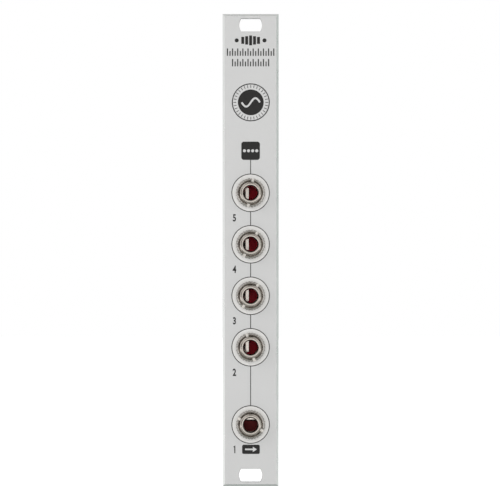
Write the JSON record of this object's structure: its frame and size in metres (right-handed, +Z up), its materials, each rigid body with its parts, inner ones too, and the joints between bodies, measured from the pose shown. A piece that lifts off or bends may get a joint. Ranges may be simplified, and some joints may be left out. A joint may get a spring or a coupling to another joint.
{
  "type": "eurorack module",
  "caption": "Slim vertical synthesiser module: a pale metal faceplate with mini-jack sockets in a column, and the circuit board and link header behind it.",
  "frame": {"origin": "on the front panel's rear face, on its centre line, at the lower rail seat, 0.625 mm above the panel's lower edge", "axes": "+Z up along the panel, +Y into the rack case, +X to the right as seen from the front"},
  "size_m": [0.0152, 0.0256, 0.1285],
  "materials": {
    "panel_metal": "satin, pale grey, clear anodised",
    "nickel": "bright nickel plate on brass",
    "housing_plastic": "moulded, black",
    "base_plastic": "moulded, dark red",
    "tinned_strip": "tin plate on brass strip",
    "spring_metal": "silver plate on phosphor bronze",
    "board": "glass-epoxy board with dark solder mask",
    "header_plastic": "moulded, black",
    "gold": "thin gold plate",
    "chip_epoxy": "moulded epoxy",
    "ceramic": "fired ceramic with tinned ends"
  },
  "bodies": {
    "module": {"front_panel": "panel_metal", "circuit_board": "board", "header_shroud": "header_plastic", "jack_1_bushing": "nickel", "jack_1_nut": "nickel", "jack_1_housing": "housing_plastic", "jack_1_base_plate": "base_plastic", "jack_1_sleeve_terminal": "tinned_strip", "jack_1_tip_terminal": "tinned_strip", "jack_1_switch_terminal": "tinned_strip", "jack_2_bushing": "nickel", "jack_2_nut": "nickel", "jack_2_housing": "housing_plastic", "jack_2_base_plate": "base_plastic", "jack_2_sleeve_terminal": "tinned_strip", "jack_2_tip_terminal": "tinned_strip", "jack_2_switch_terminal": "tinned_strip", "jack_3_bushing": "nickel", "jack_3_nut": "nickel", "jack_3_housing": "housing_plastic", "jack_3_base_plate": "base_plastic", "jack_3_sleeve_terminal": "tinned_strip", "jack_3_tip_terminal": "tinned_strip", "jack_3_switch_terminal": "tinned_strip", "jack_4_bushing": "nickel", "jack_4_nut": "nickel", "jack_4_housing": "housing_plastic", "jack_4_base_plate": "base_plastic", "jack_4_sleeve_terminal": "tinned_strip", "jack_4_tip_terminal": "tinned_strip", "jack_4_switch_terminal": "tinned_strip", "jack_5_bushing": "nickel", "jack_5_nut": "nickel", "jack_5_housing": "housing_plastic", "jack_5_base_plate": "base_plastic", "jack_5_sleeve_terminal": "tinned_strip", "jack_5_tip_terminal": "tinned_strip", "jack_5_switch_terminal": "tinned_strip", "header_pin_1": "gold", "header_pin_2": "gold", "header_pin_3": "gold", "header_pin_4": "gold", "header_pin_5": "gold", "header_pin_6": "gold", "header_pin_7": "gold", "header_pin_8": "gold", "header_pin_9": "gold", "header_pin_10": "gold", "amplifier_chip_1": "chip_epoxy", "amplifier_chip_2": "chip_epoxy", "bypass_capacitor_1": "ceramic", "bypass_capacitor_2": "ceramic", "bypass_capacitor_3": "ceramic", "bypass_capacitor_4": "ceramic"},
    "jack_1_spring": {"jack_1_tip_spring": "spring_metal"},
    "jack_2_spring": {"jack_2_tip_spring": "spring_metal"},
    "jack_3_spring": {"jack_3_tip_spring": "spring_metal"},
    "jack_4_spring": {"jack_4_tip_spring": "spring_metal"},
    "jack_5_spring": {"jack_5_tip_spring": "spring_metal"}
  },
  "joints": [
    {"name": "jack_1_contact_flex", "type": "hinge", "parent": "module", "child": "jack_1_spring", "pos_m": [0, 0.00217, 0.02003], "axis": [1, 0, 0], "range_deg": [0, 13.5], "stiffness_Nm_per_rad": 0.05},
    {"name": "jack_2_contact_flex", "type": "hinge", "parent": "module", "child": "jack_2_spring", "pos_m": [-0.0038, 0.00217, 0.03723], "axis": [0, 0, 1], "range_deg": [0, 13.5], "stiffness_Nm_per_rad": 0.05},
    {"name": "jack_3_contact_flex", "type": "hinge", "parent": "module", "child": "jack_3_spring", "pos_m": [-0.0038, 0.00217, 0.05122], "axis": [0, 0, 1], "range_deg": [0, 13.5], "stiffness_Nm_per_rad": 0.05},
    {"name": "jack_4_contact_flex", "type": "hinge", "parent": "module", "child": "jack_4_spring", "pos_m": [-0.0038, 0.00217, 0.06523], "axis": [0, 0, 1], "range_deg": [0, 13.5], "stiffness_Nm_per_rad": 0.05},
    {"name": "jack_5_contact_flex", "type": "hinge", "parent": "module", "child": "jack_5_spring", "pos_m": [-0.0038, 0.00217, 0.07923], "axis": [0, 0, 1], "range_deg": [0, 13.5], "stiffness_Nm_per_rad": 0.05}
  ]
}
